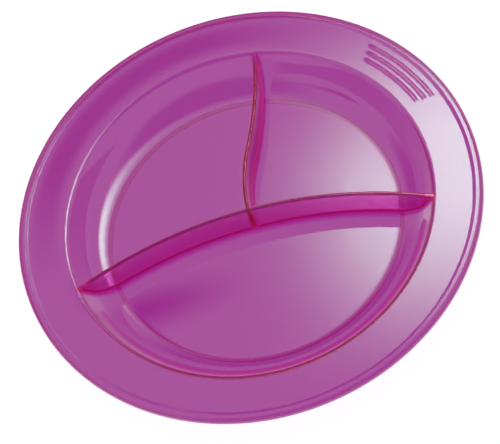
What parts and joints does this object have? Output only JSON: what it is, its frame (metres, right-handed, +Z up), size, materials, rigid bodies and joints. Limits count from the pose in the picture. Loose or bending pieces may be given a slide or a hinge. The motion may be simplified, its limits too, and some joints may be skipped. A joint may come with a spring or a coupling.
{
  "type": "divided compartment plate",
  "caption": "Round clear magenta picnic plate with a dished well, a broad, almost level rim with thumb ribs, and curved dividers that part one large compartment from smaller ones.",
  "frame": {"origin": "centre of the foot ring, on the plane that the plate stands on", "axes": "+Z up out of the well; -Y through the middle of the large compartment, so that the long divider runs along X and the short one runs towards +Y"},
  "size_m": [0.26, 0.26, 0.0241],
  "materials": {
    "clear_magenta_plastic": "clear glossy injection-moulded plastic, tinted magenta"
  },
  "bodies": {
    "root": {"floor_disc": "clear_magenta_plastic", "well_wall": "clear_magenta_plastic", "rim_flange": "clear_magenta_plastic", "rim_lip": "clear_magenta_plastic", "foot_ring": "clear_magenta_plastic", "long_divider": "clear_magenta_plastic", "short_divider": "clear_magenta_plastic", "grip_rib_inner": "clear_magenta_plastic", "grip_rib_middle": "clear_magenta_plastic", "grip_rib_outer": "clear_magenta_plastic"}
  },
  "joints": []
}
